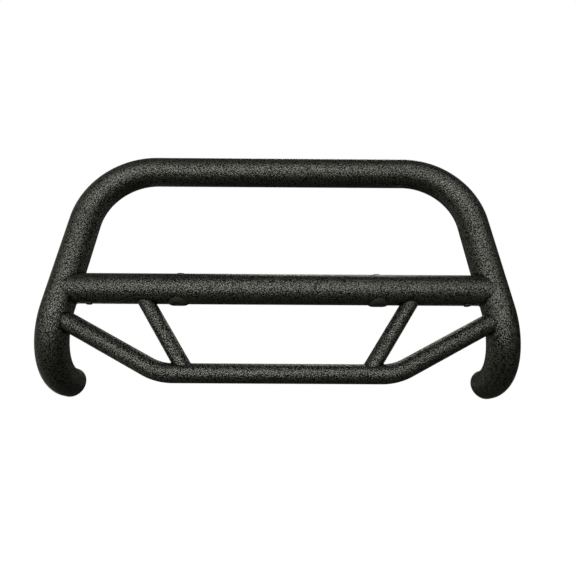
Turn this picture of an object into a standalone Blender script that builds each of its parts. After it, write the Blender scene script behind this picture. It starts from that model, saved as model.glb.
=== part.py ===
"""Front grille guard: a welded steel tube frame that bolts to the frame horns of a pickup.

Metres, +Z up, +Y back towards the vehicle, and +X to the right of someone who stands in front of
the guard and looks at it, as left and right are meant in every name. The origin is midway between
the two mounting plates, on their rear faces.
"""
import math

import bmesh
import bpy
from mathutils import Vector

# Outside radii of the round steel tubes, and their wall
MAIN_R = 0.0635 / 2
LOWER_R = 0.0381 / 2
STRUT_R = 0.03175 / 2
WALL = 0.002
GAP = 0.0003                        # left between pieces that meet

# Layout of the tube axes
STANDOFF = 0.1498                   # hoop plane in front of the mounting faces
CROSS_Z = 0.1724                    # cross tube above the mounting plates' centres
TOP_RISE = 0.2814                   # hoop's top above the cross tube
LEG_X = 0.4417                      # leg from the middle, at the cross tube's height
LEG_SPLAY = math.radians(7.26)      # legs lean outwards, going down
TOP_BEND_R = 0.146
HOOK_BEND_R = 0.1343
LOWER_DROP = 0.1722                 # lower tube below the cross tube
LOWER_END_DROP = 0.0563             # its raised ends, on the leg axis, below the cross tube
LOWER_BEND_X = 0.2282               # corner of the lower tube's axis from the middle
LOWER_BEND_R = 0.1125
STRUT_TOP_X = 0.2873                # strut's ends on the two tube axes, from the middle
STRUT_FOOT_X = 0.1744
TOP_Z = CROSS_Z + TOP_RISE
LOWER_Z = CROSS_Z - LOWER_DROP

# Facets: round sections and the steps of each bend
MAIN_SIDES = 24
THIN_SIDES = 16
BEND_STEPS = 8
LOWER_BEND_STEPS = 4
PLATE_SIDES = 36
FLANGE_SIDES = 32
PLUG_SIDES = 18
DOME_STEPS = 3

# Mounting plates, set into the hooked ends, and the weld nuts behind them
PLATE_R = MAIN_R - WALL - GAP
PLATE_T = 0.006
PLATE_PROUD = 0.003                 # plate's rear face behind the tube's end
BOLT_HOLE_R = 0.0065                # clearance for an M12 bolt
BOLT_SPACING = 0.030
NUT_FLATS = 0.019
NUT_T = 0.010
NUT_BORE_R = 0.0051
CHAMFER = 0.0008
RIM_BEAD_MARGIN = 0.0006            # plate's bead stops short of the tube's outside
RIM_BEAD_BULGE = 0.0002

# Lamp holes in the cross tube: stud hole on top, access hole under it, lead hole beside the leg
LAMP_HOLE_X = 0.2035
LAMP_HOLE_R = 0.0065
ACCESS_HOLE_R = 0.016
WIRE_HOLE_X = 0.385
WIRE_HOLE_R = 0.0045
BARB_GRIP = 0.0007                  # plug's barb past the hole's edge
LAMP_PLUG_R = 0.0105
LAMP_PLUG_T = 0.0021
GROMMET_R = 0.0065
GROMMET_T = 0.0026
GROMMET_BORE_R = 0.0018
ACCESS_FLANGE_R = 0.020
ACCESS_FLANGE_T = 0.0033
ACCESS_CUP_WALL = 0.0017

# Weld beads
BEAD_POINTS = 32
BEAD_SIDES = 8
BEAD_R = 0.003
STRUT_BEAD_R = 0.0026
BEAD_THINNING = 0.45                # share that a bead loses where the two tubes run flush
SEAM_INSET = 0.997                  # seam lines lie this share of the radius from their axis
HALVINGS = 16                       # steps that close in on a seam point

SIDES = ((-1, "left"), (1, "right"))
X_AXIS = Vector((1, 0, 0))
Y_AXIS = Vector((0, 1, 0))
Z_AXIS = Vector((0, 0, 1))


# ---------------------------------------------------------------- scene and modifiers

def start_clean():
    for thing in list(bpy.data.objects):
        bpy.data.objects.remove(thing, do_unlink=True)


def new_collection(name):
    made = bpy.data.collections.new(name)
    bpy.context.scene.collection.children.link(made)
    return made


def principled(name, colour, roughness, metallic):
    made = bpy.data.materials.new(name)
    made.use_nodes = True
    shader = made.node_tree.nodes["Principled BSDF"]
    shader.inputs["Base Color"].default_value = (*colour, 1)
    shader.inputs["Roughness"].default_value = roughness
    shader.inputs["Metallic"].default_value = metallic
    return made


def part(name, mesh, finish):
    """A node of the guard."""
    made = bpy.data.objects.new(name, mesh)
    guard.objects.link(made)
    mesh.materials.clear()
    mesh.materials.append(finish)
    mesh.shade_smooth()
    mesh.set_sharp_from_angle(angle=math.radians(35))
    return made


def helper(name, mesh):
    """A cutter, or a shape that a Boolean joins to a part."""
    made = bpy.data.objects.new(name, mesh)
    cutters.objects.link(made)
    made.hide_render = True
    made.display_type = "WIRE"
    return made


def combine(thing, operation, *others):
    for other in others:
        step = thing.modifiers.new(operation.lower() + "_" + other.name, "BOOLEAN")
        step.operation = operation
        step.solver = "EXACT"
        step.object = other


def hollow(thing):
    shell = thing.modifiers.new("wall", "SOLIDIFY")
    shell.thickness = WALL
    shell.offset = -1
    shell.use_even_offset = True


# ---------------------------------------------------------------- meshes

def swept(points, radius, sides, closed=False, capped=True, swell=None):
    """A round section swept along points: a rod, a closed ring, or an open tube."""
    curve = bpy.data.curves.new("route", "CURVE")
    curve.dimensions = "3D"
    curve.bevel_depth = radius
    curve.bevel_resolution = sides // 2 - 2
    curve.use_fill_caps = capped
    spline = curve.splines.new("POLY")
    spline.points.add(len(points) - 1)
    for index, point in enumerate(points):
        spline.points[index].co = (*point, 1)
        spline.points[index].radius = swell[index] if swell else 1
    spline.use_cyclic_u = closed
    guide = bpy.data.objects.new("route", curve)
    bpy.context.scene.collection.objects.link(guide)
    evaluated = guide.evaluated_get(bpy.context.evaluated_depsgraph_get())
    mesh = bpy.data.meshes.new_from_object(evaluated)
    bpy.data.objects.remove(guide)
    work = bmesh.new()
    work.from_mesh(mesh)
    bmesh.ops.remove_doubles(work, verts=work.verts, dist=0.00001)
    work.to_mesh(mesh)
    work.free()
    return mesh


def rod(radius, depth, sides):
    """A capped cylinder about Z, centred on its own origin."""
    mesh = bpy.data.meshes.new("rod")
    work = bmesh.new()
    bmesh.ops.create_cone(work, cap_ends=True, segments=sides, radius1=radius, radius2=radius,
                          depth=depth)
    work.to_mesh(mesh)
    work.free()
    return mesh


def turned(thing_maker, name, profile, steps, *finish):
    """A profile of (radius, height) turned about Z by a Screw modifier."""
    mesh = bpy.data.meshes.new(name)
    closed = profile[0][0] > 0
    edges = [(i, i + 1) for i in range(len(profile) - 1)]
    if closed:
        edges.append((len(profile) - 1, 0))
    mesh.from_pydata([(r, 0, z) for r, z in profile], edges, [])
    made = thing_maker(name, mesh, *finish)
    screw = made.modifiers.new("turn", "SCREW")
    screw.steps = steps
    screw.render_steps = steps
    screw.use_merge_vertices = True
    screw.merge_threshold = 0.00001
    screw.use_smooth_shade = True
    return made


# ---------------------------------------------------------------- routes of the tube axes

def bend(start, heading, towards, angle, radius, steps):
    """Points of a bend that leaves start along heading and turns towards a unit normal."""
    centre = start + radius * towards
    turns = [angle * step / steps for step in range(steps + 1)]
    return [centre + radius * (math.sin(a) * heading - math.cos(a) * towards) for a in turns]


def with_mirror(half):
    """A route from the middle to the right end, completed with its mirror image."""
    return [Vector((-p.x, p.y, p.z)) for p in reversed(half)] + half


def leg_x(drop):
    return LEG_X + drop * math.tan(LEG_SPLAY)


def hoop_route():
    down = Vector((math.sin(LEG_SPLAY), 0, -math.cos(LEG_SPLAY)))
    corner_turn = math.pi / 2 - LEG_SPLAY
    corner_start = leg_x(-TOP_RISE) - TOP_BEND_R * math.tan(corner_turn / 2)
    hook_drop = CROSS_Z - HOOK_BEND_R * math.cos(LEG_SPLAY)
    shoulder = Vector((corner_start, -STANDOFF, TOP_Z))
    knee = Vector((leg_x(hook_drop), -STANDOFF, CROSS_Z - hook_drop))
    half = bend(shoulder, X_AXIS, -Z_AXIS, corner_turn, TOP_BEND_R, BEND_STEPS)
    half += bend(knee, down, Y_AXIS, math.pi / 2, HOOK_BEND_R, BEND_STEPS)
    half.append(Vector((half[-1].x, -PLATE_PROUD, half[-1].z)))
    return with_mirror(half)


def lower_route():
    end = Vector((leg_x(LOWER_END_DROP), -STANDOFF, CROSS_Z - LOWER_END_DROP))
    rise = math.atan2(end.z - LOWER_Z, end.x - LOWER_BEND_X)
    start = Vector((LOWER_BEND_X - LOWER_BEND_R * math.tan(rise / 2), -STANDOFF, LOWER_Z))
    half = bend(start, X_AXIS, Z_AXIS, rise, LOWER_BEND_R, LOWER_BEND_STEPS)
    return with_mirror(half + [end])


def cross_route():
    return with_mirror([Vector((LEG_X, -STANDOFF, CROSS_Z))])


def strut_route(side):
    return [Vector((side * STRUT_TOP_X, -STANDOFF, CROSS_Z)),
            Vector((side * STRUT_FOOT_X, -STANDOFF, LOWER_Z))]


# ---------------------------------------------------------------- seams between two tubes

def nearest_on(route, point):
    best = None
    for a, b in zip(route, route[1:]):
        along = (point - a).dot(b - a) / (b - a).length_squared
        foot = a + min(max(along, 0), 1) * (b - a)
        if best is None or (point - foot).length < (point - best).length:
            best = foot
    return best


def first_touch(line, outward, host_route, host_radius):
    """Where a straight line that comes in against outward first meets the host's surface."""
    def outside(distance):
        spot = line + distance * outward
        return (spot - nearest_on(host_route, spot)).length > host_radius

    stride = host_radius / 20
    near = 3 * host_radius
    while outside(near):
        near -= stride
    far = near + stride
    for _ in range(HALVINGS):
        middle = (near + far) / 2
        if outside(middle):
            far = middle
        else:
            near = middle
    return line + near * outward


def seam(end, outward, radius, host_route, host_radius):
    """Closed line where a tube, whose axis ends on a host's axis, meets the host's surface.

    Each point comes with its bead's thickness: full in a corner, less where the surfaces run
    flush.
    """
    across = outward.cross(Y_AXIS).normalized()
    points = []
    thickness = []
    for step in range(BEAD_POINTS):
        turn = 2 * math.pi * (step + 0.5) / BEAD_POINTS
        normal = math.cos(turn) * across + math.sin(turn) * Y_AXIS
        line = end + SEAM_INSET * radius * normal
        spot = first_touch(line, outward, host_route, host_radius)
        host_normal = (spot - nearest_on(host_route, spot)).normalized()
        points.append(spot)
        thickness.append(1 - BEAD_THINNING * max(0, normal.dot(host_normal)))
    return points, thickness


def weld(name, seam_line, radius, *tubes):
    """A bead along a seam, trimmed by the two tubes that it joins."""
    points, thickness = seam_line
    mesh = swept(points, radius, BEAD_SIDES, closed=True, swell=thickness)
    combine(part(name, mesh, steel), "DIFFERENCE", *tubes)


# ---------------------------------------------------------------- tubes

def tube(name, route, radius, sides):
    made = part(name, swept(route, radius, sides, capped=False), steel)
    hollow(made)
    return made


def tube_cutter(name, route, radius, sides):
    """A solid rod that clears a tube of this radius all round."""
    clear = (radius + GAP) / math.cos(math.pi / sides)
    return helper(name, swept(route, clear, sides))


def round_hole(name, place, radius, depth):
    made = helper(name, rod(radius, depth, FLANGE_SIDES))
    made.location = place
    return made


def build_tubes():
    tube("hoop_tube", hoop_route(), MAIN_R, MAIN_SIDES)
    cross = tube("cross_tube", cross_route(), MAIN_R, MAIN_SIDES)
    combine(cross, "DIFFERENCE", cut["hoop"])
    lower = tube("lower_tube", lower_route(), LOWER_R, THIN_SIDES)
    combine(lower, "DIFFERENCE", cut["hoop"])
    for side, word in SIDES:
        strut = tube("strut_" + word, strut_route(side), STRUT_R, THIN_SIDES)
        combine(strut, "DIFFERENCE", cut["cross"], cut["lower"])
        for kind, x, z, radius in (
                ("lamp", LAMP_HOLE_X, MAIN_R, LAMP_HOLE_R),
                ("access", LAMP_HOLE_X, -MAIN_R, ACCESS_HOLE_R),
                ("wire", WIRE_HOLE_X, -MAIN_R, WIRE_HOLE_R)):
            place = (side * x, -STANDOFF, CROSS_Z + z)
            combine(cross, "DIFFERENCE",
                    round_hole(kind + "_hole_" + word, place, radius, MAIN_R))


def build_welds():
    hoop = hoop_route()
    lower = lower_route()
    cross = cross_route()
    for side, word in SIDES:
        outward = Vector((-side, 0, 0))
        end = Vector((side * LEG_X, -STANDOFF, CROSS_Z))
        weld("weld_cross_" + word, seam(end, outward, MAIN_R, hoop, MAIN_R), BEAD_R,
             cut["hoop"], cut["cross"])
        end, bend_end = (lower[-1], lower[-2]) if side > 0 else (lower[0], lower[1])
        outward = (bend_end - end).normalized()
        weld("weld_lower_" + word, seam(end, outward, LOWER_R, hoop, MAIN_R), BEAD_R,
             cut["hoop"], cut["lower"])
        top, foot = strut_route(side)
        down = (foot - top).normalized()
        weld("weld_strut_top_" + word, seam(top, down, STRUT_R, cross, MAIN_R), STRUT_BEAD_R,
             cut["cross"], cut["strut_" + word])
        weld("weld_strut_foot_" + word, seam(foot, -down, STRUT_R, lower, LOWER_R),
             STRUT_BEAD_R, cut["lower"], cut["strut_" + word])


# ---------------------------------------------------------------- mounting ends

def build_mounting_end(side, word):
    x = side * hoop_route()[-1].x
    plate = part("end_plate_" + word, rod(PLATE_R, PLATE_T, PLATE_SIDES), steel)
    plate.location = (x, -PLATE_T / 2, 0)
    plate.rotation_euler.x = math.pi / 2
    edge = plate.modifiers.new("chamfer", "BEVEL")
    edge.width = CHAMFER
    edge.segments = 1
    edge.angle_limit = math.radians(60)
    for row, place in ((1, "upper"), (-1, "lower")):
        z = row * BOLT_SPACING / 2
        bolt_hole = helper("bolt_hole_" + place + "_" + word,
                           rod(BOLT_HOLE_R, 4 * PLATE_T, PLUG_SIDES))
        bolt_hole.location = (x, 0, z)
        bolt_hole.rotation_euler.x = math.pi / 2
        combine(plate, "DIFFERENCE", bolt_hole)
        nut_r = NUT_FLATS / 2 / math.cos(math.pi / 6)
        nut = part("weld_nut_" + place + "_" + word, rod(nut_r, NUT_T, 6), plated)
        nut.location = (x, -PLATE_T - GAP - NUT_T / 2, z)
        nut.rotation_euler.x = math.pi / 2
        bore = helper("nut_bore_" + place + "_" + word, rod(NUT_BORE_R, 2 * NUT_T, PLUG_SIDES))
        bore.location = nut.location
        bore.rotation_euler = nut.rotation_euler
        combine(nut, "DIFFERENCE", bore)
    # Fillet bead between the plate's rim and the tube's end: height 0 is the mounting face
    inner = PLATE_R + GAP
    outer = MAIN_R - RIM_BEAD_MARGIN
    low = GAP - PLATE_PROUD
    crown = ((inner + outer) / 2 + RIM_BEAD_BULGE, (low - CHAMFER) / 2 + RIM_BEAD_BULGE)
    profile = [(inner, -CHAMFER), crown, (outer, low), (inner, low)]
    bead = turned(part, "weld_plate_" + word, profile, PLATE_SIDES, steel)
    bead.location = (x, 0, 0)
    bead.rotation_euler.x = -math.pi / 2


# ---------------------------------------------------------------- plugs in the cross tube

def arc_profile(radius, low, high, steps):
    """Quarter-round (radius, height) points from the middle of a dome down to its rim."""
    turns = [math.pi / 2 * step / steps for step in range(steps + 1)]
    return [(radius * math.sin(a), low + (high - low) * math.cos(a)) for a in turns]


def sag(tube_r, reach):
    """How far a tube's surface falls away, at this distance across it from its crest."""
    return tube_r - math.sqrt(tube_r ** 2 - reach ** 2)


def stem_with_barb(name, top, hole_r, inner_r, steps):
    """A plug's stem through the tube's wall, with a barb that grips behind the hole's edge.

    It is solid where inner_r is 0, and otherwise a cup that is open inside the tube.
    """
    stem_r = hole_r - GAP
    barb_r = hole_r + BARB_GRIP
    catch = -WALL - sag(MAIN_R - WALL, barb_r) - GAP
    profile = [(0, top), (stem_r, top), (stem_r, catch), (barb_r, catch - GAP),
               (stem_r, catch - WALL)]
    if inner_r:
        profile += [(inner_r, catch - WALL), (inner_r, -WALL)]
    return turned(helper, name, profile + [(0, profile[-1][1])], steps)


def build_plug(name, x, head_r, head_t, hole_r, bore_r, up):
    """A pushed-in plug: a domed head saddled to the tube, and a stem with a barb inside it.

    Heights are measured outwards from the tube's surface at the hole.
    """
    head_sag = sag(MAIN_R, head_r)
    place = Vector((x, -STANDOFF, CROSS_Z + up * MAIN_R))
    flip = 0 if up > 0 else math.pi
    profile = arc_profile(head_r, head_t / 2 - head_sag, head_t, DOME_STEPS)
    profile += [(head_r, -head_sag - WALL), (0, -head_sag - WALL)]
    head = turned(part, name, profile, PLUG_SIDES, rubber)
    stem = stem_with_barb(name + "_stem", head_t / 3, hole_r, 0, PLUG_SIDES)
    for thing in (head, stem):
        thing.location = place
        thing.rotation_euler.x = flip
    combine(head, "DIFFERENCE", cut["cross"])
    combine(head, "UNION", stem)
    if bore_r:
        bore = helper(name + "_bore", rod(bore_r, 12 * WALL, PLUG_SIDES // 2))
        bore.location = place
        combine(head, "DIFFERENCE", bore)


def build_access_plug(side, word):
    """A wide plug whose thin flange wraps round the underside of the tube."""
    place = Vector((side * LAMP_HOLE_X, -STANDOFF, CROSS_Z - MAIN_R))
    plug = part("access_hole_plug_" + word, rod(ACCESS_FLANGE_R, MAIN_R, FLANGE_SIDES), rubber)
    plug.location = place
    skin = helper("access_plug_skin_" + word,
                  swept(cross_route(), MAIN_R + ACCESS_FLANGE_T, FLANGE_SIDES))
    stem = stem_with_barb("access_plug_stem_" + word, ACCESS_FLANGE_T / 2, ACCESS_HOLE_R,
                          ACCESS_HOLE_R - ACCESS_CUP_WALL, FLANGE_SIDES)
    stem.location = place
    stem.rotation_euler.x = math.pi
    combine(plug, "INTERSECT", skin)
    combine(plug, "DIFFERENCE", cut["cross"])
    combine(plug, "UNION", stem)


def build_plugs():
    for side, word in SIDES:
        build_plug("lamp_hole_plug_" + word, side * LAMP_HOLE_X, LAMP_PLUG_R, LAMP_PLUG_T,
                   LAMP_HOLE_R, 0, 1)
        build_plug("wire_grommet_" + word, side * WIRE_HOLE_X, GROMMET_R, GROMMET_T,
                   WIRE_HOLE_R, GROMMET_BORE_R, -1)
        build_access_plug(side, word)


# ---------------------------------------------------------------- build

start_clean()
guard = new_collection("front_grille_guard")
cutters = new_collection("cutters")

steel = principled("textured_black_steel", (0.022, 0.022, 0.020), 0.5, 0.0)
plated = principled("zinc_plated_steel", (0.55, 0.55, 0.52), 0.35, 1.0)
rubber = principled("black_rubber", (0.018, 0.018, 0.018), 0.6, 0.0)

cut = {
    "hoop": tube_cutter("hoop_cutter", hoop_route(), MAIN_R, MAIN_SIDES),
    "cross": tube_cutter("cross_cutter", cross_route(), MAIN_R, MAIN_SIDES),
    "lower": tube_cutter("lower_cutter", lower_route(), LOWER_R, THIN_SIDES),
    "strut_left": tube_cutter("strut_left_cutter", strut_route(-1), STRUT_R, THIN_SIDES),
    "strut_right": tube_cutter("strut_right_cutter", strut_route(1), STRUT_R, THIN_SIDES),
}

build_tubes()
build_welds()
for side_sign, side_word in SIDES:
    build_mounting_end(side_sign, side_word)
build_plugs()
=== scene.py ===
"""Looks of the front grille guard: its tubes, welds, mounting ends and plugs, with a studio.

Metres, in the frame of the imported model: +Z up, +Y back towards the vehicle, and +X to the right
of someone who stands in front of the guard. The guard is the same on both sides of x = 0, so each
tube and weld is worked out for the right half and mirrored. Only the welds' waver differs.
"""
import math

import bmesh
import bpy
import numpy as np
from mathutils import Matrix, Vector


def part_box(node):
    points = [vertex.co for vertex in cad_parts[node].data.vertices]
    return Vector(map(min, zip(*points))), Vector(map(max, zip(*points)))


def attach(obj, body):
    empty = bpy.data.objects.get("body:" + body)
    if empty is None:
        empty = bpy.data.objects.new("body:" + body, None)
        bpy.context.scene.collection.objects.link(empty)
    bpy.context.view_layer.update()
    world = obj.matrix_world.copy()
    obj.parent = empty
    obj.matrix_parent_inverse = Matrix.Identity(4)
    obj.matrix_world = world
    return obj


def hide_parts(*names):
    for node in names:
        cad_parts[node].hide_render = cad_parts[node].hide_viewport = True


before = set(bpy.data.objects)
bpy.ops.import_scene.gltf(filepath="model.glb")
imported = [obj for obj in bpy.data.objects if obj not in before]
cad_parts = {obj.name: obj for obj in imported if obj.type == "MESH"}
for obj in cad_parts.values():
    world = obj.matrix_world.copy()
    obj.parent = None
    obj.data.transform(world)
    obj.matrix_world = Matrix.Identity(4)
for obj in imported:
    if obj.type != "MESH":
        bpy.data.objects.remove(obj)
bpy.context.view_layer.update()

MM = 0.001

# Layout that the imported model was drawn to
LEG_SPLAY = math.radians(7.26)
TOP_BEND_R = 0.146
HOOK_BEND_R = 0.1343
LOWER_END_DROP = 0.0563
LOWER_BEND_X = 0.2282
LOWER_BEND_R = 0.1125
STRUT_TOP_X = 0.2873
STRUT_FOOT_X = 0.1744
WALL = 0.002
FIT_UP = 0.0003                     # gap between a coped end and the tube it meets
PLATE_PROUD = 0.003
BOLT_HOLE_R = 0.0065
BOLT_SPACING = 0.030
LAMP_HOLE_X = 0.2035                # stud hole on top, access hole straight under it
LAMP_HOLE_R = 0.0065
ACCESS_HOLE_R = 0.016
WIRE_HOLE_X = 0.385
WIRE_HOLE_R = 0.0045

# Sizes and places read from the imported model
cross_low, cross_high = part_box("cross_tube")
lower_low, lower_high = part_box("lower_tube")
strut_low, strut_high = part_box("strut_right")
plate_low, plate_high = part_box("end_plate_right")
MAIN_R = (cross_high.z - cross_low.z) / 2
CROSS_Z = (cross_high.z + cross_low.z) / 2
PLANE_Y = (cross_high.y + cross_low.y) / 2
TOP_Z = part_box("hoop_tube")[1].z - MAIN_R
LOWER_R = (lower_high.y - lower_low.y) / 2
LOWER_Z = lower_low.z + LOWER_R
STRUT_R = (strut_high.y - strut_low.y) / 2
FOOT_X = (plate_low.x + plate_high.x) / 2
PLATE_R = (plate_high.x - plate_low.x) / 2
PLATE_T = plate_high.y - plate_low.y
HOOK_DROP = CROSS_Z - HOOK_BEND_R * math.cos(LEG_SPLAY)
LEG_X = FOOT_X - HOOK_BEND_R * math.sin(LEG_SPLAY) - HOOK_DROP * math.tan(LEG_SPLAY)

# Fineness of the meshes
SIDES = 96                          # points round a tube
BEND_STEPS = 48
STRAIGHT_STEP = 0.02
SEAM_POINTS = 640
RIM_BEAD_SEGMENTS = 480
BEAD_SECTION = 9                    # points across a bead's face
PLUG_SEGMENTS = 96
HOLE_SEGMENTS = 64
THREAD_SEGMENTS = 48
POLE_SPAN = 1e-9                    # a ring narrower than this is one point

# Steeper edges than these are shaded as edges, in degrees
TUBE_EDGE = 40
BEAD_EDGE = 60
MACHINED_EDGE = 25

X = np.array((1.0, 0.0, 0.0))
Y = np.array((0.0, 1.0, 0.0))
Z = np.array((0.0, 0.0, 1.0))
MIRROR = np.array((-1.0, 1.0, 1.0))
HANDS = ((-1, "left"), (1, "right"))


def unit(v):
    return v / np.linalg.norm(v, axis=-1, keepdims=True)


def column(values):
    return np.asarray(values)[..., None]


def smooth(low, high, value):
    """0 below low, 1 above high, and an easy slope between them."""
    t = np.clip((value - low) / (high - low), 0, 1)
    return t * t * (3 - 2 * t)


# ---------------------------------------------------------------- meshes and pieces

collection = bpy.data.collections.new("front_grille_guard_looks")
bpy.context.scene.collection.children.link(collection)


def mesh_of_rings(rings, closed=False):
    """Quads over an array of rings, the last joined to the first where it is closed. A ring of
    one repeated point is a pole."""
    rows, count = rings.shape[:2]
    mesh = bmesh.new()
    grid = []
    for ring in rings:
        if np.ptp(ring, axis=0).max() < POLE_SPAN:
            grid.append([mesh.verts.new(ring[0])] * count)
        else:
            grid.append([mesh.verts.new(point) for point in ring])
    for row in range(rows if closed else rows - 1):
        here, there = grid[row], grid[(row + 1) % rows]
        for side in range(count):
            after = (side + 1) % count
            corners = []
            for vert in (here[side], here[after], there[after], there[side]):
                if vert not in corners:
                    corners.append(vert)
            if len(corners) > 2:
                mesh.faces.new(corners)
    bmesh.ops.recalc_face_normals(mesh, faces=mesh.faces)
    made = bpy.data.meshes.new("rings")
    mesh.to_mesh(made)
    mesh.free()
    return made


def piece(name, mesh, finish, nodes, edge=TUBE_EDGE, material=None):
    """A visible piece that stands for CAD nodes and takes the finish of one of the slots."""
    mesh.name = name
    mesh.materials.clear()
    mesh.materials.append(material or MATERIALS[finish])
    mesh.shade_smooth()
    mesh.set_sharp_from_angle(angle=math.radians(edge))
    made = bpy.data.objects.new(name, mesh)
    collection.objects.link(made)
    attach(made, "root")
    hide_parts(*nodes)


def boolean(mesh, operation, *others):
    """mesh combined with other meshes, one after another."""
    body = bpy.data.objects.new("body", mesh)
    tools = [bpy.data.objects.new("tool", other) for other in others]
    for thing in [body] + tools:
        bpy.context.scene.collection.objects.link(thing)
    for tool in tools:
        step = body.modifiers.new("step", "BOOLEAN")
        step.operation = operation
        step.solver = "EXACT"
        step.object = tool
    evaluated = body.evaluated_get(bpy.context.evaluated_depsgraph_get())
    made = bpy.data.meshes.new_from_object(evaluated)
    for thing in [body] + tools:
        bpy.data.objects.remove(thing)
    return made


def turned(profile, segments):
    """(radius, height) points turned about Z."""
    turn = np.linspace(0, 2 * math.pi, segments, endpoint=False)
    return mesh_of_rings(np.array([[(r * math.cos(a), r * math.sin(a), h) for a in turn]
                                   for r, h in profile]))


def moved(mesh, matrix):
    mesh.transform(matrix)
    if matrix.determinant() < 0:
        mesh.flip_normals()
    return mesh


# ---------------------------------------------------------------- routes, right half

DOWN = np.array((math.sin(LEG_SPLAY), 0, -math.cos(LEG_SPLAY)))
LEG_SIDE = np.cross(DOWN, Y)


def leg_point(drop):
    """Point of the straight leg's axis, this far below the cross tube's height."""
    return np.array((LEG_X + drop * math.tan(LEG_SPLAY), PLANE_Y, CROSS_Z - drop))


KNEE = leg_point(HOOK_DROP)         # where the leg starts to hook back


def arc(start, heading, towards, angle, radius, steps):
    """Points and headings round a bend that leaves start and turns towards a unit normal."""
    turn = column(np.linspace(0, angle, steps + 1))
    centre = start + radius * towards
    points = centre + radius * (np.sin(turn) * heading - np.cos(turn) * towards)
    return points, np.cos(turn) * heading + np.sin(turn) * towards


def straight(a, b):
    """Points strictly between a and b."""
    count = max(int(np.linalg.norm(b - a) / STRAIGHT_STEP), 1)
    return a + column(np.arange(1, count) / count) * (b - a)


def circle():
    turn = np.linspace(0, 2 * math.pi, SIDES, endpoint=False)
    return np.cos(turn), np.sin(turn)


def sections(points, first, second, radius):
    """Round sections at points, in the plane of two unit vectors given for each of them."""
    cos, sin = circle()
    first = np.broadcast_to(first, points.shape)
    second = np.broadcast_to(second, points.shape)
    return (points[:, None] + radius * cos[None, :, None] * first[:, None]
            + radius * sin[None, :, None] * second[:, None])


def whole(half):
    """Sections from the middle to the right end, completed with their mirror image."""
    return np.concatenate((half[::-1] * MIRROR, half))


def hollow(outer, inner):
    """A closed tube wall from its outer and inner sections."""
    return mesh_of_rings(np.concatenate((outer, inner[::-1])), closed=True)


def hoop_sections(radius):
    """The hoop from left to right: hooked end, leg, top, leg and hooked end."""
    corner_turn = math.pi / 2 - LEG_SPLAY
    shoulder = leg_point(CROSS_Z - TOP_Z)
    shoulder[0] -= TOP_BEND_R * math.tan(corner_turn / 2)
    top = straight(shoulder * (Y + Z), shoulder)
    bend, heading = arc(shoulder, X, -Z, corner_turn, TOP_BEND_R, BEND_STEPS)
    leg = straight(bend[-1], KNEE)
    headings = np.concatenate((np.tile(X, (len(top), 1)), heading, np.tile(DOWN, (len(leg), 1))))
    front = sections(np.concatenate((top, bend, leg)), np.cross(headings, Y), Y, radius)
    hook, heading = arc(KNEE, DOWN, Y, math.pi / 2, HOOK_BEND_R, BEND_STEPS)
    end = hook[-1] * (X + Z) - PLATE_PROUD * Y
    hook = np.concatenate((hook, [end]))
    heading = np.concatenate((heading, [Y]))
    back = sections(hook, LEG_SIDE, -np.cross(heading, LEG_SIDE), radius)
    return whole(np.concatenate((front, back)))


# ---------------------------------------------------------------- coped ends

REACH_LIMIT = 4 * MAIN_R            # how far from a host's axis its surface is looked for
REACH_STEPS = 1601
COLLAR = {"hoop": 0.062, "cross": 0.060, "lower": 0.042}    # from a host's axis to a plain section
COPE_SHARES = (0, 0.25, 0.5, 0.75, 0.92, 1)                 # sections between it and the edge
# A seam that faces forward is dressed: its bead is kept down in a groove between the host and
# the coped edge. FRONT_SPAN says how far forward the seam faces where this starts and where it is
# full, and GROOVE how wide and deep the groove is, by the kind of joint
FRONT_SPAN = (0.05, 0.45)
GROOVE = {"cross": (2.2 * MM, 1.9 * MM), "lower": (1.2 * MM, 0.5 * MM),
          "strut": (1.0 * MM, 0.5 * MM)}


def foot_on_hoop(points):
    """Nearest points on the hoop's axis, along the leg or round the hook."""
    along = (points - KNEE) @ DOWN
    on_leg = KNEE + column(along) * DOWN
    centre = KNEE + HOOK_BEND_R * Y
    arm = points - centre
    arm = arm - column(arm @ LEG_SIDE) * LEG_SIDE
    return np.where(column(along) < 0, on_leg, centre + HOOK_BEND_R * unit(arm))


def foot_on_level(height):
    """A function that finds the nearest points on a level tube's axis."""
    def foot(points):
        return points * X + np.array((0, PLANE_Y, height))
    return foot


HOSTS = {
    "hoop": (foot_on_hoop, MAIN_R),
    "cross": (foot_on_level(CROSS_Z), MAIN_R),
    "lower": (foot_on_level(LOWER_Z), LOWER_R),
}


def reach(starts, away, host, clear=0.0):
    """How far along away each line leaves the host's surface, or runs closest to it."""
    foot, radius = HOSTS[host]
    steps = np.linspace(0, REACH_LIMIT, REACH_STEPS)
    spots = starts[:, None] + steps[None, :, None] * away
    gaps = np.linalg.norm(spots - foot(spots), axis=2) - radius - clear
    found = []
    for gap in gaps:
        inside = np.flatnonzero(gap < 0)
        if len(inside):
            last = inside[-1]
            found.append(np.interp(0, gap[last:last + 2], steps[last:last + 2]))
        else:
            found.append(steps[gap.argmin()])
    return np.array(found)


def frontness(normals):
    """1 where a seam faces forward and is dressed, and 0 at its sides and back."""
    return smooth(*FRONT_SPAN, -normals[..., 1])


def coped_end(end, away, radius, host, joint, outer):
    """The last sections of a tube that meets a host, from a plain one to the coped end."""
    side = np.cross(away, Y)
    cos, sin = circle()
    normals = column(cos) * side + column(sin) * Y
    starts = end + radius * normals
    cope = reach(starts, away, host, FIT_UP)
    if outer:
        cope = cope + GROOVE[joint][0] * frontness(normals)
    collar = COLLAR[host]
    return [starts + column(collar + share * (cope - collar)) * away for share in COPE_SHARES]


# ---------------------------------------------------------------- weld beads

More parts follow.
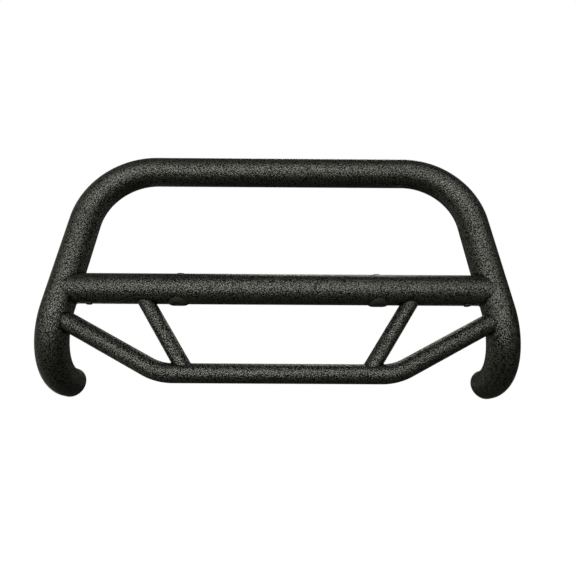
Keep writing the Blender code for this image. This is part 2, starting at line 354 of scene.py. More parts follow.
BEAD_LEG = 3.2 * MM
STRUT_BEAD_LEG = 0.85 * BEAD_LEG
CORNER_LEG_SHARE = 0.4              # of the leg, at the sides of a seam
BACK_SPAN = (0.35, 0.9)             # how far back a seam faces where the leg grows and is full
LEG_WAVER = 0.12
CROWN = 0.55 * MM
CROWN_WAVER = 0.25
TOE_SINK = 0.04 * MM                # toes lie this deep in the tubes, so that no gap shows
FRONT_TOE_SINK = 0.1 * MM           # and this much deeper in the host at the front
GROOVE_LAP = 0.3 * MM               # dressed bead goes on under the coped edge
DISH_SHARE = 0.6                    # dressed bead's hollow, as a share of the groove's depth
ROOT_DEPTH = 1.0 * MM
ROOT_DEPTH_SHARE = 1.8              # root's further depth at the front, as a share of it too
RIPPLE_PITCH = 2.3 * MM
RIPPLE = 0.16 * MM
CRESCENT = 1.9                      # by how much a ripple's middle trails its ends, in radians
SEEDS = {"weld_cross": 11, "weld_lower": 21, "weld_strut_top": 31, "weld_strut_foot": 41,
         "weld_plate": 71}
CROWN_SEED_STEP = 50
# Waves round a seam in the legs, in the crown and in the rim bead
LEG_WAVES, CROWN_WAVES, RIM_WAVES = 7, 11, 9
WAVE_OCTAVES = 4
WAVE_RATIO = 1.9                    # waves of an octave to those of the one before
WAVE_DRAWS = 3                      # an octave gets 0, 1 or 2 waves more
WAVE_FADE = 1.5                     # the higher, the less the first octave stands out
WAVE_SCALE = 1.2


def waves(phase, count, seed):
    """Smooth closed irregularity round a seam, about -1 to 1."""
    draw = np.random.default_rng(seed)
    total = np.zeros_like(phase)
    for octave in range(WAVE_OCTAVES):
        cycles = int(count * WAVE_RATIO ** octave) + draw.integers(0, WAVE_DRAWS)
        total += np.sin(cycles * phase + draw.uniform(0, 2 * math.pi)) / (octave + WAVE_FADE)
    return total / WAVE_SCALE


def across_bead():
    """Shares of the way from one toe to the other, each with how far the face swells there."""
    for step in range(BEAD_SECTION):
        share = step / (BEAD_SECTION - 1)
        yield share, 1 - (2 * share - 1) ** 2


def bead_rings(end, away, radius, host, joint, seed, leg):
    """Sections of a fillet bead along the seam between a tube and its host."""
    foot, host_r = HOSTS[host]
    groove, depth = GROOVE[joint]
    phase = np.linspace(0, 2 * math.pi, SEAM_POINTS, endpoint=False)
    side = np.cross(away, Y)
    normal = column(np.cos(phase)) * side + column(np.sin(phase)) * Y
    starts = end + radius * normal
    root = starts + column(reach(starts, away, host)) * away
    host_normal = unit(root - foot(root))
    over = normal - away
    over = unit(over - column((over * host_normal).sum(1)) * host_normal)
    between = unit(normal + host_normal)
    front = frontness(normal)
    run = np.linalg.norm(root - np.roll(root, 1, axis=0), axis=1).cumsum()
    ripples = round(run[-1] / RIPPLE_PITCH)
    ripple_phase = run / run[-1] * 2 * math.pi * ripples
    behind = smooth(*BACK_SPAN, normal[:, 1])
    width = leg * (CORNER_LEG_SHARE + (1 - CORNER_LEG_SHARE) * behind)
    width = width * (1 + LEG_WAVER * waves(phase, LEG_WAVES, seed))
    tube_leg = width + front * (groove + GROOVE_LAP - width)
    host_leg = width * (1 - front)
    sunk = TOE_SINK + front * depth
    toe_tube = root + column(tube_leg) * away - column(sunk) * normal
    toe_host = root + column(host_leg) * over
    hub = foot(toe_host)
    toe_host = hub + column(host_r - TOE_SINK - FRONT_TOE_SINK * front) * unit(toe_host - hub)
    crown = CROWN * (leg / BEAD_LEG)
    crown = crown * (1 + CROWN_WAVER * waves(phase, CROWN_WAVES, seed + CROWN_SEED_STEP))
    crown = crown * (1 - front) - DISH_SHARE * depth * front
    rows = [root - column(ROOT_DEPTH + ROOT_DEPTH_SHARE * depth * front) * between]
    for share, hump in across_bead():
        ripple = np.cos(ripple_phase + CRESCENT * hump) * RIPPLE * hump ** 0.5 * (1 - front)
        lift = crown * hump + ripple
        rows.append(toe_tube + share * (toe_host - toe_tube) + column(lift) * between)
    return np.array(rows)


def weld_pieces(kind, end, away, radius, host, joint, leg=BEAD_LEG):
    """A weld and its mirror image, each with a waver of its own."""
    for hand, word in HANDS:
        rings = bead_rings(end, away, radius, host, joint, SEEDS[kind] + hand, leg)
        if hand < 0:
            rings = rings * MIRROR
        name = f"{kind}_{word}"
        piece(f"{name}_bead", mesh_of_rings(rings, closed=True), "textured_black_steel", [name],
              BEAD_EDGE, BEAD_COAT)


# ---------------------------------------------------------------- materials

# Each noise is a scale to the metre, a detail and a roughness
NOISE_SPAN = (0.3, 0.7)             # where most of a noise's values lie
IOR = 1.5

PEBBLES = 390.0                     # pebbles to the metre
PEBBLE_SPAN = (0.1, 0.75)           # pebble's middle and edge, as distances in its cell
PEBBLE_SHARE, LUMP_SHARE, GRIT_SHARE = 0.9, 0.2, 0.15       # in the coat's height
WARP_NOISE = (PEBBLES * 0.7, 1.0)   # pushes the pebbles out of round; a scale and a detail
WARP = 0.6                          # how far, in pebbles
LUMP_NOISE = (PEBBLES * 1.1, 1.0, 0.5)
GRIT_NOISE = (PEBBLES * 3.1, 2.0, 0.6)
FILM_NOISE = (26.0, 3.0, 0.6)       # slow change of the whole coat
FILM_TONE = (0.88, 1.12)
FILM_ROUGH = (-0.03, 0.03)
CREST = (0.3, 0.9)                  # heights of the pits and of the crests
# Painted shade in the pebbles' pits: they are coloured darker and given less gloss than the crests
COAT_PIT_SHADE = (0.0018, 0.0018, 0.0015)
COAT_TOP = (0.021, 0.021, 0.019)
COAT_ROUGH = (0.37, 0.25)           # in the pits and on the crests
COAT_GLOSS = (0.08, 0.92)
COAT_BUMP = 0.00056
# Painted shade in corners and creases, found by ambient occlusion: its reach, samples, span, and
# the brightness left where it is deepest
CORNER_REACH = 0.008                # how near another surface makes a corner
CORNER_SAMPLES = 4
CORNER_SPAN = (0.62, 0.96)
PAINTED_CORNER_SHADE = 0.08
BEAD_RELIEF, BEAD_SHINE = 0.3, 0.7  # on a weld, beside the plain coat's

RUBBER_GRAIN = (1900.0, 3.0, 0.65)
RUBBER_CLOUD = (130.0, 3.0, 0.6)
BLOOM_SPAN = (0.35, 0.7)
RUBBER_DARK = (0.009, 0.009, 0.007)
RUBBER_DUSTY = (0.015, 0.015, 0.011)
RUBBER_ROUGH = (0.50, 0.66)
RUBBER_GLOSS = 0.24
RUBBER_BUMP = {"Strength": 0.6, "Distance": 0.00006}

ZINC_MARKS = (420.0, 3.0, 0.6)
ZINC_STRETCH = (1.0, 14.0, 1.0)     # marks run across the nut's axis
ZINC_CLOUD = (240.0, 3.0, 0.6)
ZINC_DARK = (0.50, 0.50, 0.46)
ZINC_PALE = (0.66, 0.65, 0.60)
ZINC_ROUGH = (0.26, 0.44)
ZINC_MARK_ROUGH = (-0.04, 0.06)
ZINC_BUMP = {"Strength": 0.5, "Distance": 0.00005}


class Nodes:
    """Short hand for building a material's or the world's node tree."""

    def __init__(self, owner):
        owner.use_nodes = True
        self.tree = owner.node_tree
        self.tree.nodes.clear()

    def add(self, kind, settings=None, **inputs):
        """A node with its settings and its inputs, which are named, or numbered as in i0."""
        node = self.tree.nodes.new(kind)
        for key, value in (settings or {}).items():
            setattr(node, key, value)
        for key, value in inputs.items():
            numbered = key[0] == "i" and key[1:].isdigit()
            socket = node.inputs[int(key[1:]) if numbered else key.replace("_", " ")]
            if isinstance(value, bpy.types.NodeSocket):
                self.tree.links.new(value, socket)
            else:
                socket.default_value = value
        return node

    def place(self):
        return self.add("ShaderNodeTexCoord").outputs["Object"]

    def noise(self, vector, scale, detail, roughness=0.5):
        return self.add("ShaderNodeTexNoise", Vector=vector, Scale=scale, Detail=detail,
                        Roughness=roughness).outputs["Fac"]

    def maths(self, operation, a, b):
        return self.add("ShaderNodeMath", {"operation": operation}, i0=a, i1=b).outputs[0]

    def spread(self, value, low, high, to_low=0.0, to_high=1.0):
        return self.add("ShaderNodeMapRange", Value=value, From_Min=low, From_Max=high,
                        To_Min=to_low, To_Max=to_high).outputs["Result"]

    def blend(self, share, a, b):
        return self.add("ShaderNodeMix", {"data_type": "RGBA"}, i0=share, i6=(*a, 1),
                        i7=(*b, 1)).outputs[2]

    def surface(self, **inputs):
        shader = self.add("ShaderNodeBsdfPrincipled", **inputs)
        self.add("ShaderNodeOutputMaterial", Surface=shader.outputs[0])


def powder_coat(name, relief=1.0, shine=1.0):
    """Black powder coat with a pebbled, slightly gritty skin over the steel, with painted shade in
    its pits and in its corners.
    """
    made = bpy.data.materials.new(name)
    n = Nodes(made)
    place = n.place()
    scale, detail = WARP_NOISE
    warp = n.add("ShaderNodeTexNoise", Vector=place, Scale=scale, Detail=detail).outputs["Color"]
    shifted = n.add("ShaderNodeVectorMath", {"operation": "MULTIPLY_ADD"}, i0=warp,
                    i1=(WARP / PEBBLES,) * 3, i2=place).outputs[0]
    cells = n.add("ShaderNodeTexVoronoi", {"feature": "F1"}, Vector=shifted,
                  Scale=PEBBLES).outputs["Distance"]
    pebble = n.spread(cells, *PEBBLE_SPAN, 1.0, 0.0)
    lumps = n.spread(n.noise(shifted, *LUMP_NOISE), *NOISE_SPAN)
    grit = n.noise(place, *GRIT_NOISE)
    height = n.maths("ADD", n.maths("MULTIPLY", pebble, PEBBLE_SHARE),
                     n.maths("MULTIPLY", lumps, LUMP_SHARE))
    height = n.maths("ADD", height, n.maths("MULTIPLY", grit, GRIT_SHARE))
    film = n.noise(place, *FILM_NOISE)
    crest = n.spread(height, *CREST)
    tone = n.spread(film, *NOISE_SPAN, *FILM_TONE)
    # Pits are painted darker than the crests, as painted shade in the hollows
    colour = n.blend(crest, COAT_PIT_SHADE, COAT_TOP)
    # Painted shade: colour and gloss are darkened down in corners and creases, where the occlusion
    # finds other surfaces near
    corner = n.add("ShaderNodeAmbientOcclusion", {"samples": CORNER_SAMPLES},
                   Distance=CORNER_REACH)
    painted_shade_factor = n.spread(corner.outputs["AO"], *CORNER_SPAN, PAINTED_CORNER_SHADE, 1.0)
    colour = n.add("ShaderNodeVectorMath", {"operation": "SCALE"}, i0=colour,
                   Scale=n.maths("MULTIPLY", tone, painted_shade_factor)).outputs[0]
    rough = n.maths("ADD", n.spread(crest, 0, 1, *COAT_ROUGH),
                    n.spread(film, *NOISE_SPAN, *FILM_ROUGH))
    # The painted corner shade dims the gloss as well as the colour
    gloss = n.maths("MULTIPLY", n.spread(crest, 0, 1, *COAT_GLOSS),
                    n.maths("MULTIPLY", painted_shade_factor, shine))
    bump = n.add("ShaderNodeBump", Height=height, Strength=1.0, Distance=COAT_BUMP * relief)
    n.surface(Base_Color=colour, Roughness=rough, Normal=bump.outputs[0], IOR=IOR,
              Specular_IOR_Level=gloss)
    return made


def rubber():
    """Moulded rubber: matt, faintly mottled, with a fine grain and a dusty bloom."""
    made = bpy.data.materials.new("moulded_black_rubber")
    n = Nodes(made)
    place = n.place()
    grain = n.noise(place, *RUBBER_GRAIN)
    cloud = n.noise(place, *RUBBER_CLOUD)
    colour = n.blend(n.spread(cloud, *BLOOM_SPAN), RUBBER_DARK, RUBBER_DUSTY)
    rough = n.spread(cloud, *NOISE_SPAN, *RUBBER_ROUGH)
    bump = n.add("ShaderNodeBump", Height=grain, **RUBBER_BUMP)
    n.surface(Base_Color=colour, Roughness=rough, Normal=bump.outputs[0], IOR=IOR,
              Specular_IOR_Level=RUBBER_GLOSS)
    return made


def zinc():
    """Zinc plate on a forged nut: pale grey with a faint warm cast and fine machining marks."""
    made = bpy.data.materials.new("zinc_plate")
    n = Nodes(made)
    place = n.place()
    stretched = n.add("ShaderNodeMapping", Vector=place, Scale=ZINC_STRETCH).outputs[0]
    marks = n.noise(stretched, *ZINC_MARKS)
    cloud = n.noise(place, *ZINC_CLOUD)
    colour = n.blend(n.spread(cloud, *NOISE_SPAN), ZINC_DARK, ZINC_PALE)
    rough = n.maths("ADD", n.spread(cloud, *NOISE_SPAN, *ZINC_ROUGH),
                    n.spread(marks, *NOISE_SPAN, *ZINC_MARK_ROUGH))
    bump = n.add("ShaderNodeBump", Height=marks, **ZINC_BUMP)
    n.surface(Base_Color=colour, Roughness=rough, Metallic=1.0, Normal=bump.outputs[0])
    return made


BEAD_COAT = powder_coat("textured_black_powder_coat_on_weld", BEAD_RELIEF, BEAD_SHINE)
MATERIALS = {
    "textured_black_steel": powder_coat("textured_black_powder_coat"),
    "zinc_plated_steel": zinc(),
    "black_rubber": rubber(),
}


# ---------------------------------------------------------------- tubes

DRILL_REACH = MAIN_R / 2            # into the tube and out of it, from its skin
# Holes in one half of the cross tube: place, radius, and 1 for the top or -1 for the underside
HOLES = ((LAMP_HOLE_X, LAMP_HOLE_R, 1), (LAMP_HOLE_X, ACCESS_HOLE_R, -1),
         (WIRE_HOLE_X, WIRE_HOLE_R, -1))


def build_hoop():
    mesh = hollow(hoop_sections(MAIN_R), hoop_sections(MAIN_R - WALL))
    piece("hoop_tube_bent", mesh, "textured_black_steel", ["hoop_tube"])


def drill(x, radius, up):
    """Cutter for a hole in the top or the underside of the cross tube."""
    profile = [(0, -DRILL_REACH), (radius, -DRILL_REACH), (radius, DRILL_REACH),
               (0, DRILL_REACH)]
    return moved(turned(profile, HOLE_SEGMENTS),
                 Matrix.Translation((x, PLANE_Y, CROSS_Z + up * MAIN_R)))


def build_cross():
    shells = []
    for outer, radius in ((True, MAIN_R), (False, MAIN_R - WALL)):
        end = leg_point(0)
        coped = coped_end(end, -X, radius, "hoop", "cross", outer)
        inmost = end - COLLAR["hoop"] * X
        centre = np.array((0, PLANE_Y, CROSS_Z))
        run = sections(straight(centre, inmost), np.cross(-X, Y), Y, radius)
        shells.append(whole(np.concatenate((run, coped))))
    drills = [drill(hand * x, radius, up) for hand, _ in HANDS for x, radius, up in HOLES]
    mesh = boolean(hollow(*shells), "DIFFERENCE", *drills)
    piece("cross_tube_coped", mesh, "textured_black_steel", ["cross_tube"])


def lower_line():
    """The right half of the lower tube's axis: end, rise, start of its bend."""
    end = leg_point(LOWER_END_DROP)
    rise = math.atan2(end[2] - LOWER_Z, end[0] - LOWER_BEND_X)
    start = np.array((LOWER_BEND_X - LOWER_BEND_R * math.tan(rise / 2), PLANE_Y, LOWER_Z))
    return end, rise, start


def build_lower():
    end, rise, start = lower_line()
    bend, heading = arc(start, X, Z, rise, LOWER_BEND_R, BEND_STEPS)
    away = -heading[-1]
    level = straight(start * (Y + Z), start)
    risen = straight(bend[-1], end + COLLAR["hoop"] * away)
    points = np.concatenate((level, bend, risen))
    headings = np.concatenate((np.tile(X, (len(level), 1)), heading,
                               np.tile(heading[-1], (len(risen), 1))))
    shells = []
    for outer, radius in ((True, LOWER_R), (False, LOWER_R - WALL)):
        coped = coped_end(end, away, radius, "hoop", "lower", outer)
        run = sections(points, np.cross(-headings, Y), Y, radius)
        shells.append(whole(np.concatenate((run, coped))))
    piece("lower_tube_bent", hollow(*shells), "textured_black_steel", ["lower_tube"])


def strut_line():
    """The right strut's ends on the tubes' axes, and its way down."""
    top = np.array((STRUT_TOP_X, PLANE_Y, CROSS_Z))
    foot = np.array((STRUT_FOOT_X, PLANE_Y, LOWER_Z))
    return top, foot, unit(foot - top)


def build_struts():
    top, foot, down = strut_line()
    span = straight(top + COLLAR["cross"] * down, foot - COLLAR["lower"] * down)
    shells = []
    for outer, radius in ((True, STRUT_R), (False, STRUT_R - WALL)):
        head = coped_end(top, down, radius, "cross", "strut", outer)[::-1]
        toe = coped_end(foot, -down, radius, "lower", "strut", outer)
        # The two ends count their points in opposite directions
        toe = [np.roll(ring[::-1], SIDES // 2 + 1, axis=0) for ring in toe]
        run = sections(span, np.cross(down, Y), Y, radius)
        shells.append(np.concatenate((head, run, toe)))
    for hand, word in HANDS:
        sides = [shell * MIRROR if hand < 0 else shell for shell in shells]
        piece(f"strut_{word}_coped", hollow(*sides), "textured_black_steel", [f"strut_{word}"])


def build_welds():
    weld_pieces("weld_cross", leg_point(0), -X, MAIN_R, "hoop", "cross")
    end, rise, _ = lower_line()
    away = np.array((-math.cos(rise), 0, -math.sin(rise)))
    weld_pieces("weld_lower", end, away, LOWER_R, "hoop", "lower")
    top, foot, down = strut_line()
    weld_pieces("weld_strut_top", top, down, STRUT_R, "cross", "strut", STRUT_BEAD_LEG)
    weld_pieces("weld_strut_foot", foot, -down, STRUT_R, "lower", "strut", STRUT_BEAD_LEG)


# ---------------------------------------------------------------- mounting ends

CHAMFER = 0.8 * MM
CHAMFER_STEPS = 4
HOLE_CHAMFER = 0.5 * MM
NUT_FLATS = 0.019
NUT_BORE_R = 0.0051
NUT_CROWN_SHARE = 0.96              # flat of a nut's face, beside the width over its flats
NUT_CORNER_SLOPE = math.radians(30)
THREAD_PITCH = 1.75 * MM
THREAD_DEPTH = 0.6 * MM
CUT_MARGIN = MM                     # by which a cutter passes what it cuts

RIM_GAP = 0.05 * MM                 # between the plate's rim and its bead
RIM_INSET = 0.5 * MM                # bead stops short of the tube's outside
RIM_FLOOR = 0.02 * MM               # and stays over the tube's end
RIM_OUTER_WAVER = 0.15 * MM
RIM_HEIGHT_WAVER = 0.1 * MM
RIM_CROWN = 0.5 * MM
RIM_RIPPLE = 0.22 * MM
RIM_SLANT = 0.7                     # share of the lift outwards, and of it upwards


def rounded_rim(height, way):
    """(radius, height) points round the plate's edge at one face, from its rim to the face."""
    turns = np.linspace(0, math.pi / 2, CHAMFER_STEPS + 1)
    return [(PLATE_R - CHAMFER * (1 - math.cos(a)), height - way * CHAMFER * (1 - math.sin(a)))
            for a in turns]


def facing_back(x, y, z):
    """From a shape turned about Z to one whose +Z side faces the vehicle."""
    return Matrix.Translation((x, y, z)) @ Matrix.Rotation(-math.pi / 2, 4, "X")


def build_plate(hand, word):
    """Round plate with a rounded edge and two chamfered bolt holes."""
    profile = ([(0, 0)] + rounded_rim(0, 1)[::-1] + rounded_rim(-PLATE_T, -1)
               + [(0, -PLATE_T)])
    wide = BOLT_HOLE_R + 2 * HOLE_CHAMFER
    bore = [(0, HOLE_CHAMFER), (wide, HOLE_CHAMFER), (BOLT_HOLE_R, -HOLE_CHAMFER),
            (BOLT_HOLE_R, HOLE_CHAMFER - PLATE_T), (wide, -HOLE_CHAMFER - PLATE_T),
            (0, -HOLE_CHAMFER - PLATE_T)]
    drills = [moved(turned(bore, HOLE_SEGMENTS),
                    Matrix.Translation((0, row * BOLT_SPACING / 2, 0))) for row in (1, -1)]
    disc = boolean(turned(profile, SIDES), "DIFFERENCE", *drills)
    moved(disc, facing_back(hand * FOOT_X, 0, 0))
    piece(f"end_plate_{word}_drilled", disc, "textured_black_steel", [f"end_plate_{word}"],
          MACHINED_EDGE)


def build_nut(place, word):
    """A hexagonal weld nut with turned-down corners, and grooves in its bore for a thread."""
    low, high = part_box(f"weld_nut_{place}_{word}")
    thick = high.y - low.y
    corner = NUT_FLATS / 2 / math.cos(math.pi / 6)
    prism = turned([(0, 0), (corner, 0), (corner, thick), (0, thick)], 6)
    crown = NUT_FLATS / 2 * NUT_CROWN_SHARE
    slope = (corner + CUT_MARGIN - crown) * math.tan(NUT_CORNER_SLOPE)
    blank = [(0, 0), (crown, 0), (corner + CUT_MARGIN, slope),
             (corner + CUT_MARGIN, thick - slope), (crown, thick), (0, thick)]
    prism = boolean(prism, "INTERSECT", turned(blank, SIDES))
    count = int(thick / THREAD_PITCH)
    margin = (thick - count * THREAD_PITCH) / 2
    mouth = NUT_BORE_R + THREAD_DEPTH + CUT_MARGIN
    thread = [(0, -CUT_MARGIN), (mouth, -CUT_MARGIN), (NUT_BORE_R, margin)]
    for turn in range(count):
        base = margin + turn * THREAD_PITCH
        thread += [(NUT_BORE_R + THREAD_DEPTH, base + THREAD_PITCH * 0.5),
                   (NUT_BORE_R, base + THREAD_PITCH)]
    thread += [(mouth, thick + CUT_MARGIN), (0, thick + CUT_MARGIN)]
    prism = boolean(prism, "DIFFERENCE", turned(thread, THREAD_SEGMENTS))
    middle = (low + high) / 2
    moved(prism, facing_back(middle.x, low.y, middle.z))
    piece(f"weld_nut_{place}_{word}_threaded", prism, "zinc_plated_steel",
          [f"weld_nut_{place}_{word}"], MACHINED_EDGE)


def build_rim_bead(hand, word):
    """Rippled bead in the step between the plate's rim and the tube's end."""
    phase = np.linspace(0, 2 * math.pi, RIM_BEAD_SEGMENTS, endpoint=False)
    unsteady = waves(phase, RIM_WAVES, SEEDS["weld_plate"] + hand)
    ripples = round(2 * math.pi * MAIN_R / RIPPLE_PITCH)
    inner = PLATE_R + RIM_GAP
    outer = MAIN_R - RIM_INSET + RIM_OUTER_WAVER * unsteady
    low = -PLATE_PROUD + RIM_FLOOR
    high = -CHAMFER + RIM_HEIGHT_WAVER * unsteady
    rows = [(inner + 0 * phase, low + 0 * phase)]
    for share, hump in across_bead():
        ripple = RIM_RIPPLE * np.cos(ripples * phase + CRESCENT * hump) * hump ** 0.5
        lift = RIM_SLANT * (RIM_CROWN * hump + ripple)
        rows.append((inner + share * (outer - inner) + lift, high + share * (low - high) + lift))
    rings = np.array([np.stack((r * np.cos(phase), r * np.sin(phase), h), axis=1)
                      for r, h in rows])
    mesh = moved(mesh_of_rings(rings, closed=True), facing_back(hand * FOOT_X, 0, 0))
    piece(f"weld_plate_{word}_bead", mesh, "textured_black_steel", [f"weld_plate_{word}"],
          BEAD_EDGE, BEAD_COAT)


# ---------------------------------------------------------------- plugs

PLUG_GAP = 0.02 * MM                # between a head and the tube's skin
BARB = 0.7 * MM                     # past the hole's edge
NECK_SLACK = 0.3 * MM
CATCH_DROP = 0.25 * MM              # catch under the tube's inner skin
# The rest of a stem under its catch
BARB_TOP = 0.35 * MM
BARB_END = 0.7 * MM
STEM_TAPER = (0.4 * MM, 2.6 * MM)   # inwards and down
STEM_END = -WALL - 2.9 * MM         # height over the tube's skin


def saddled(x, up, profile, closed=False):
    """A profile of (radius, height over the tube's skin) wrapped on the cross tube."""
    turn = np.linspace(0, 2 * math.pi, PLUG_SEGMENTS, endpoint=False)
    rings = []
    for r, h in profile:
        across = r * np.sin(turn)
        rings.append(np.stack((x + r * np.cos(turn), PLANE_Y + across,
                               CROSS_Z + up * np.sqrt((MAIN_R + h) ** 2 - across ** 2)), axis=1))
    return mesh_of_rings(np.array(rings), closed)


def quarter(r_from, h_from, r_to, h_to, steps, bulge_out=True):
    """Quarter of an ellipse from one (radius, height) point to another, without the first."""
    turns = [math.pi / 2 * step / steps for step in range(1, steps + 1)]
    if bulge_out:
        return [(r_from + (r_to - r_from) * math.sin(a), h_to + (h_from - h_to) * math.cos(a))
                for a in turns]
    return [(r_to + (r_from - r_to) * math.cos(a), h_from + (h_to - h_from) * math.sin(a))
            for a in turns]


def stem(hole_r):
    """Down from the head's underside through the wall, over the barb, to the stem's end."""
    neck = hole_r - NECK_SLACK
    catch = -WALL - CATCH_DROP
    taper, drop = STEM_TAPER
    return [(neck, PLUG_GAP), (neck, catch), (hole_r + BARB, catch - BARB_TOP),
            (hole_r + BARB, catch - BARB_END), (neck - taper, catch - drop)]


def build_lamp_plug(hand, word):
    """Domed blanking plug with a thin lip, in the lamp's stud hole."""
    low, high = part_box(f"lamp_hole_plug_{word}")
    head = (high.x - low.x) / 2
    tall = high.z - CROSS_Z - MAIN_R
    lip, lip_foot = 0.9 * MM, 0.9 * MM * 0.45
    crown_r, crown_h = head * 0.25, tall - 0.02 * MM
    dome_r, dome_h = head * 0.86, lip + 0.55 * MM
    crease_r, crease_h = head * 0.90, lip + 0.12 * MM
    lip_r = head * 0.93
    profile = [(0, tall), (crown_r, crown_h)]
    profile += quarter(crown_r, crown_h, dome_r, dome_h, 10)
    profile += [(crease_r, crease_h), (lip_r, lip)]
    profile += quarter(lip_r, lip, head, lip_foot, 5)
    profile += [(head, PLUG_GAP)] + stem(LAMP_HOLE_R) + [(0, STEM_END)]
    piece(f"lamp_hole_plug_{word}_domed", saddled(hand * LAMP_HOLE_X, 1, profile),
          "black_rubber", [f"lamp_hole_plug_{word}"])


def build_grommet(hand, word):
    """Ring-shaped grommet for a lamp's lead, open through its middle."""
    low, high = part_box(f"wire_grommet_{word}")
    head = (high.x - low.x) / 2
    tall = CROSS_Z - MAIN_R - low.z
    bore = 1.8 * MM
    mouth = bore + 1.0 * MM
    shoulder = head - 1.9 * MM
    mouth_h, rim_h = tall * 0.55, tall * 0.4
    profile = [(bore, mouth_h)]
    profile += quarter(bore, mouth_h, mouth, tall, 5, bulge_out=False)
    profile += [(shoulder, tall)]
    profile += quarter(shoulder, tall, head, rim_h, 8)
    profile += [(head, PLUG_GAP)] + stem(WIRE_HOLE_R) + [(bore, STEM_END)]
    piece(f"wire_grommet_{word}_moulded", saddled(hand * WIRE_HOLE_X, -1, profile, True),
          "black_rubber", [f"wire_grommet_{word}"])


def build_access_plug(hand, word):
    """Wide plug whose flange wraps the underside and thins to its rim, with a shallow dish."""
    low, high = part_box(f"access_hole_plug_{word}")
    head = (high.x - low.x) / 2
    tall = CROSS_Z - MAIN_R - low.z
    dish, bank, sunk = head * 0.5, 1.5 * MM, 0.5 * MM
    flat, fall, fall_power = 0.66, 0.30, 1.7    # the first two are shares of the head's radius
    lip, lip_foot, lip_r = 1.1 * MM, 1.1 * MM * 0.4, head * 0.96
    cup, cup_corner, cup_floor = ACCESS_HOLE_R - 2.0 * MM, 0.8 * MM, -0.8 * MM
    profile = [(0, tall - sunk), (dish - bank, tall - sunk)]
    profile += [(dish - bank + bank * t, tall - sunk + sunk * t * t * (3 - 2 * t))
                for t in (0.25, 0.5, 0.75, 1)]
    profile += [(head * flat, tall)]
    profile += [(head * (flat + fall * t), tall + (lip - tall) * t ** fall_power)
                for t in (0.2, 0.4, 0.6, 0.8, 1)]
    profile += quarter(lip_r, lip, head, lip_foot, 5)
    profile += [(head, PLUG_GAP)] + stem(ACCESS_HOLE_R)
    profile += [(cup, STEM_END), (cup, cup_floor - 0.6 * MM), (cup - cup_corner, cup_floor),
                (0, cup_floor)]
    piece(f"access_hole_plug_{word}_flanged", saddled(hand * LAMP_HOLE_X, -1, profile),
          "black_rubber", [f"access_hole_plug_{word}"])


# ---------------------------------------------------------------- studio

FLOOR_Z = -0.45
FLOOR_REACH = 12.0
FLOOR_NOISE = (1.4, 2.0)
FLOOR_DARK = (0.78, 0.78, 0.78)
FLOOR_PALE = (0.81, 0.81, 0.81)
FLOOR_ROUGH = 0.9
FLOOR_GLOW = 0.92

# How bright the room is on each side: an axis of the way looked, where the side starts and
# where it is full, and its strength
ROOM_SIDES = (("Y", -0.3, -0.8, 0.34), ("X", -0.3, -0.8, 0.23), ("Y", 0.2, 0.7, 0.06),
              ("Z", 0.2, 0.7, 0.085))
ROOM_TINT = (1.0, 1.03, 0.85)

# Panels of light: name, place, aim, width, height and radiance
PANEL_TINT = (0.99, 1.0, 0.91)
FRONT_AIM = (0, -0.1, 0.2)
REAR_AIM = (0, 0, 0.2)
PANELS = (
    ("low", (0, -2.3, -0.2), FRONT_AIM, 1.2, 0.45, 12.6),
    ("high", (0, -2.3, 0.75), FRONT_AIM, 1.2, 0.45, 8.6),
    ("left", (-1.3, -2.0, 0.1), FRONT_AIM, 0.6, 0.9, 10.4),
    ("left_high", (-1.0, -1.9, 0.8), FRONT_AIM, 0.6, 0.5, 3.8),
    ("right", (1.3, -2.0, 0.1), FRONT_AIM, 0.6, 0.9, 3.0),
    ("right_high", (1.0, -1.9, 0.8), FRONT_AIM, 0.6, 0.5, 10.6),
    ("rear_top", (0.4, 1.6, 2.2), REAR_AIM, 1.6, 0.8, 3.5),
    ("rear_left", (-1.9, 2.4, 0.3), REAR_AIM, 0.9, 1.2, 1.5),
    ("rear_right", (1.9, 2.4, 0.3), REAR_AIM, 0.9, 1.2, 1.2),
)

CAMERA_PLACE = (0.0182, -0.9893, -0.1230)
CAMERA_PITCH = math.radians(19.594)
CAMERA_YAW = math.radians(-0.113)
CAMERA_ROLL = math.radians(0.311)
CAMERA_LENS = 26.976
CAMERA_SENSOR = 36
CAMERA_NEAR = 0.01


def build_floor():
    """A pale floor that meets the white room without an edge, and that only the camera sees."""
    mesh = bpy.data.meshes.new("floor")
    corners = [(x * FLOOR_REACH, y * FLOOR_REACH, FLOOR_Z)
               for x, y in ((-1, -1), (1, -1), (1, 1), (-1, 1))]
    mesh.from_pydata(corners, [], [(0, 1, 2, 3)])
    floor = bpy.data.objects.new("floor", mesh)
    bpy.context.scene.collection.objects.link(floor)
    made = bpy.data.materials.new("pale_floor")
    n = Nodes(made)
    tone = n.noise(n.place(), *FLOOR_NOISE)
    n.surface(Base_Color=n.blend(tone, FLOOR_DARK, FLOOR_PALE), Roughness=FLOOR_ROUGH,
              Emission_Color=(1.0, 1.0, 1.0, 1), Emission_Strength=FLOOR_GLOW)
    mesh.materials.append(made)
    floor.visible_diffuse = False
    floor.visible_glossy = False
    floor.visible_shadow = False


def build_panel(name, place, aim, width, height, radiance):
    """A soft, slightly warm panel of even radiance that faces its aim."""
    data = bpy.data.lights.new(name, "AREA")
    data.color = PANEL_TINT
    data.shape = "RECTANGLE"
    data.size = width
    data.size_y = height
    data.energy = radiance * math.pi * width * height
    lamp = bpy.data.objects.new(name, data)
    bpy.context.scene.collection.objects.link(lamp)
    place, aim = Vector(place), Vector(aim)
    lamp.location = place
    lamp.rotation_euler = (aim - place).to_track_quat("-Z", "Y").to_euler()
    lamp.visible_camera = False


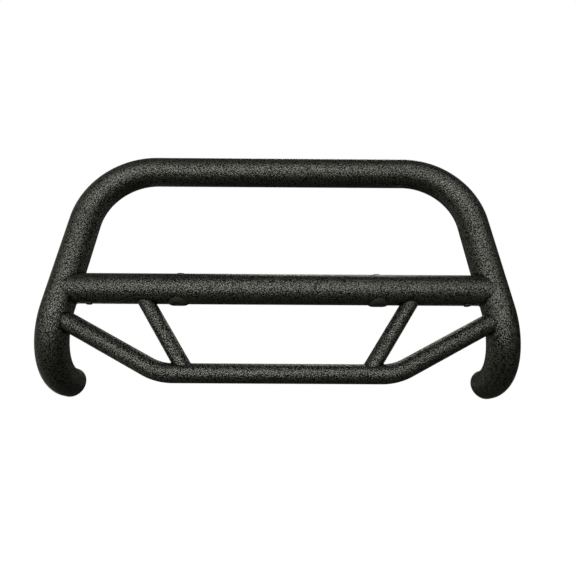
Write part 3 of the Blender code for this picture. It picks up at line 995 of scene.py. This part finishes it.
def build_world():
    """A dim room that lights the guard, behind the plain white that the camera sees."""
    world = bpy.data.worlds.new("studio")
    bpy.context.scene.world = world
    n = Nodes(world)
    seen = n.add("ShaderNodeLightPath").outputs["Is Camera Ray"]
    look = n.add("ShaderNodeTexCoord").outputs["Generated"]
    parts = n.add("ShaderNodeSeparateXYZ", Vector=look)
    level = 0.0
    for axis, start, full, strength in ROOM_SIDES:
        side = n.add("ShaderNodeMapRange", {"interpolation_type": "SMOOTHSTEP"},
                     Value=parts.outputs[axis], From_Min=start, From_Max=full, To_Max=strength)
        level = n.maths("ADD", side.outputs["Result"], level)
    room = n.add("ShaderNodeBackground", Color=(*ROOM_TINT, 1), Strength=level)
    white = n.add("ShaderNodeBackground", Color=(1, 1, 1, 1), Strength=1.0)
    both = n.add("ShaderNodeMixShader", i0=seen, i1=room.outputs[0], i2=white.outputs[0])
    n.add("ShaderNodeOutputWorld", Surface=both.outputs[0])


def build_camera():
    data = bpy.data.cameras.new("camera")
    data.sensor_width = CAMERA_SENSOR
    data.lens = CAMERA_LENS
    data.clip_start = CAMERA_NEAR
    camera = bpy.data.objects.new("camera", data)
    bpy.context.scene.collection.objects.link(camera)
    heading = Matrix.Rotation(CAMERA_YAW, 3, "Z") @ Matrix.Rotation(CAMERA_PITCH, 3, "X")
    right, ahead, up = (heading @ Vector(axis) for axis in ((1, 0, 0), (0, 1, 0), (0, 0, 1)))
    rolled_right = math.cos(CAMERA_ROLL) * right + math.sin(CAMERA_ROLL) * up
    rolled_up = math.cos(CAMERA_ROLL) * up - math.sin(CAMERA_ROLL) * right
    turn = Matrix((rolled_right, rolled_up, -ahead)).transposed()
    camera.matrix_world = Matrix.Translation(CAMERA_PLACE) @ turn.to_4x4()
    bpy.context.scene.camera = camera


# ---------------------------------------------------------------- build

build_hoop()
build_cross()
build_lower()
build_struts()
build_welds()
for hand_sign, hand_word in HANDS:
    build_plate(hand_sign, hand_word)
    for nut_place in ("upper", "lower"):
        build_nut(nut_place, hand_word)
    build_rim_bead(hand_sign, hand_word)
    build_lamp_plug(hand_sign, hand_word)
    build_grommet(hand_sign, hand_word)
    build_access_plug(hand_sign, hand_word)

build_floor()
build_world()
build_camera()
for panel in PANELS:
    build_panel(*panel)
bpy.context.scene.view_settings.view_transform = "Standard"
bpy.context.scene.view_settings.look = "None"
